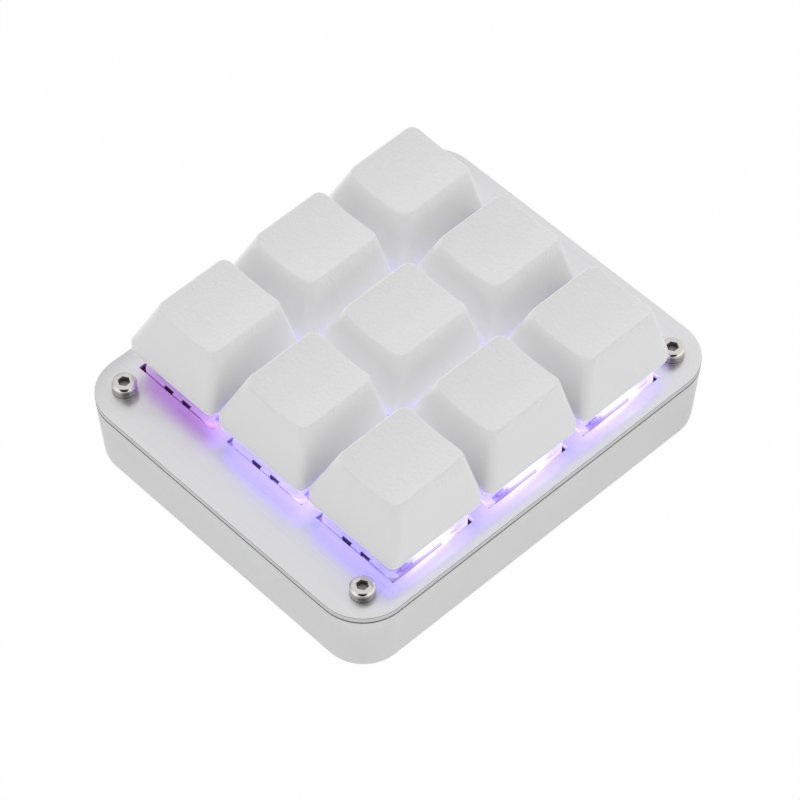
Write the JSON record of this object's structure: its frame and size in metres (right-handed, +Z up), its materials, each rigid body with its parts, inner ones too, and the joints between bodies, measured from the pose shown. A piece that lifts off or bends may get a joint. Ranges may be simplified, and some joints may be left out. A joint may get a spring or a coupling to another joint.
{
  "type": "macro keypad",
  "caption": "Small desk keypad: sprung push keys with white caps on clear switches, in a brushed cover plate over a drafted metal tray with a cord inlet at the back.",
  "frame": {"origin": "the middle of the keypad, on the desk under its rubber feet", "axes": "+Y away from the user towards the cord inlet, +X to the user's right, +Z up"},
  "size_m": [0.0614, 0.0734, 0.0276],
  "materials": {
    "case_silver": "fine bead-blasted silver",
    "brushed_plate": "brushed along X",
    "nickel_screw": "polished, nickel plated",
    "foot_rubber": "matte black",
    "board": "black solder mask on glass-fibre board",
    "chip": "matte black moulding",
    "capacitor": "tan ceramic",
    "inlet_steel": "drawn steel, nickel plated",
    "tongue": "matte black insulator",
    "socket_black": "matte black moulding",
    "light": "white moulding with a clear lens",
    "contact_brass": "bright copper alloy",
    "white_keycap": "fine-textured matte white",
    "stem": "satin white moulding",
    "spring_steel": "bright spring wire",
    "clear_housing": "clear polycarbonate"
  },
  "bodies": {
    "keypad": {"case": "case_silver", "cover_plate": "brushed_plate", "cover_screws": "nickel_screw", "rubber_feet": "foot_rubber", "circuit_board": "board", "circuit_board_screws": "nickel_screw", "microcontroller": "chip", "capacitors": "capacitor", "cord_inlet_shell": "inlet_steel", "cord_inlet_tongue": "tongue", "hot_swap_sockets": "socket_black", "key_lights": "light", "key_diodes": "chip", "fixed_contacts": "contact_brass", "moving_contacts": "contact_brass", "switch_top_front_left": "clear_housing", "switch_top_front_centre": "clear_housing", "switch_top_front_right": "clear_housing", "switch_top_middle_left": "clear_housing", "switch_top_middle_centre": "clear_housing", "switch_top_middle_right": "clear_housing", "switch_top_back_left": "clear_housing", "switch_top_back_centre": "clear_housing", "switch_top_back_right": "clear_housing", "switch_base_front_left": "clear_housing", "switch_base_front_centre": "clear_housing", "switch_base_front_right": "clear_housing", "switch_base_middle_left": "clear_housing", "switch_base_middle_centre": "clear_housing", "switch_base_middle_right": "clear_housing", "switch_base_back_left": "clear_housing", "switch_base_back_centre": "clear_housing", "switch_base_back_right": "clear_housing", "switch_spring_front_left": "spring_steel", "switch_spring_front_centre": "spring_steel", "switch_spring_front_right": "spring_steel", "switch_spring_middle_left": "spring_steel", "switch_spring_middle_centre": "spring_steel", "switch_spring_middle_right": "spring_steel", "switch_spring_back_left": "spring_steel", "switch_spring_back_centre": "spring_steel", "switch_spring_back_right": "spring_steel"},
    "key_front_left": {"keycap_front_left": "white_keycap", "switch_stem_front_left": "stem"},
    "key_front_centre": {"keycap_front_centre": "white_keycap", "switch_stem_front_centre": "stem"},
    "key_front_right": {"keycap_front_right": "white_keycap", "switch_stem_front_right": "stem"},
    "key_middle_left": {"keycap_middle_left": "white_keycap", "switch_stem_middle_left": "stem"},
    "key_middle_centre": {"keycap_middle_centre": "white_keycap", "switch_stem_middle_centre": "stem"},
    "key_middle_right": {"keycap_middle_right": "white_keycap", "switch_stem_middle_right": "stem"},
    "key_back_left": {"keycap_back_left": "white_keycap", "switch_stem_back_left": "stem"},
    "key_back_centre": {"keycap_back_centre": "white_keycap", "switch_stem_back_centre": "stem"},
    "key_back_right": {"keycap_back_right": "white_keycap", "switch_stem_back_right": "stem"}
  },
  "joints": [
    {"name": "press_front_left", "type": "slide", "parent": "keypad", "child": "key_front_left", "axis": [0, 0, -1], "range_m": [0, 0.004], "stiffness_N_per_m": 75, "springref_m": -0.004, "deforming": ["switch_spring_front_left"]},
    {"name": "press_front_centre", "type": "slide", "parent": "keypad", "child": "key_front_centre", "axis": [0, 0, -1], "range_m": [0, 0.004], "stiffness_N_per_m": 75, "springref_m": -0.004, "deforming": ["switch_spring_front_centre"]},
    {"name": "press_front_right", "type": "slide", "parent": "keypad", "child": "key_front_right", "axis": [0, 0, -1], "range_m": [0, 0.004], "stiffness_N_per_m": 75, "springref_m": -0.004, "deforming": ["switch_spring_front_right"]},
    {"name": "press_middle_left", "type": "slide", "parent": "keypad", "child": "key_middle_left", "axis": [0, 0, -1], "range_m": [0, 0.004], "stiffness_N_per_m": 75, "springref_m": -0.004, "deforming": ["switch_spring_middle_left"]},
    {"name": "press_middle_centre", "type": "slide", "parent": "keypad", "child": "key_middle_centre", "axis": [0, 0, -1], "range_m": [0, 0.004], "stiffness_N_per_m": 75, "springref_m": -0.004, "deforming": ["switch_spring_middle_centre"]},
    {"name": "press_middle_right", "type": "slide", "parent": "keypad", "child": "key_middle_right", "axis": [0, 0, -1], "range_m": [0, 0.004], "stiffness_N_per_m": 75, "springref_m": -0.004, "deforming": ["switch_spring_middle_right"]},
    {"name": "press_back_left", "type": "slide", "parent": "keypad", "child": "key_back_left", "axis": [0, 0, -1], "range_m": [0, 0.004], "stiffness_N_per_m": 75, "springref_m": -0.004, "deforming": ["switch_spring_back_left"]},
    {"name": "press_back_centre", "type": "slide", "parent": "keypad", "child": "key_back_centre", "axis": [0, 0, -1], "range_m": [0, 0.004], "stiffness_N_per_m": 75, "springref_m": -0.004, "deforming": ["switch_spring_back_centre"]},
    {"name": "press_back_right", "type": "slide", "parent": "keypad", "child": "key_back_right", "axis": [0, 0, -1], "range_m": [0, 0.004], "stiffness_N_per_m": 75, "springref_m": -0.004, "deforming": ["switch_spring_back_right"]}
  ]
}
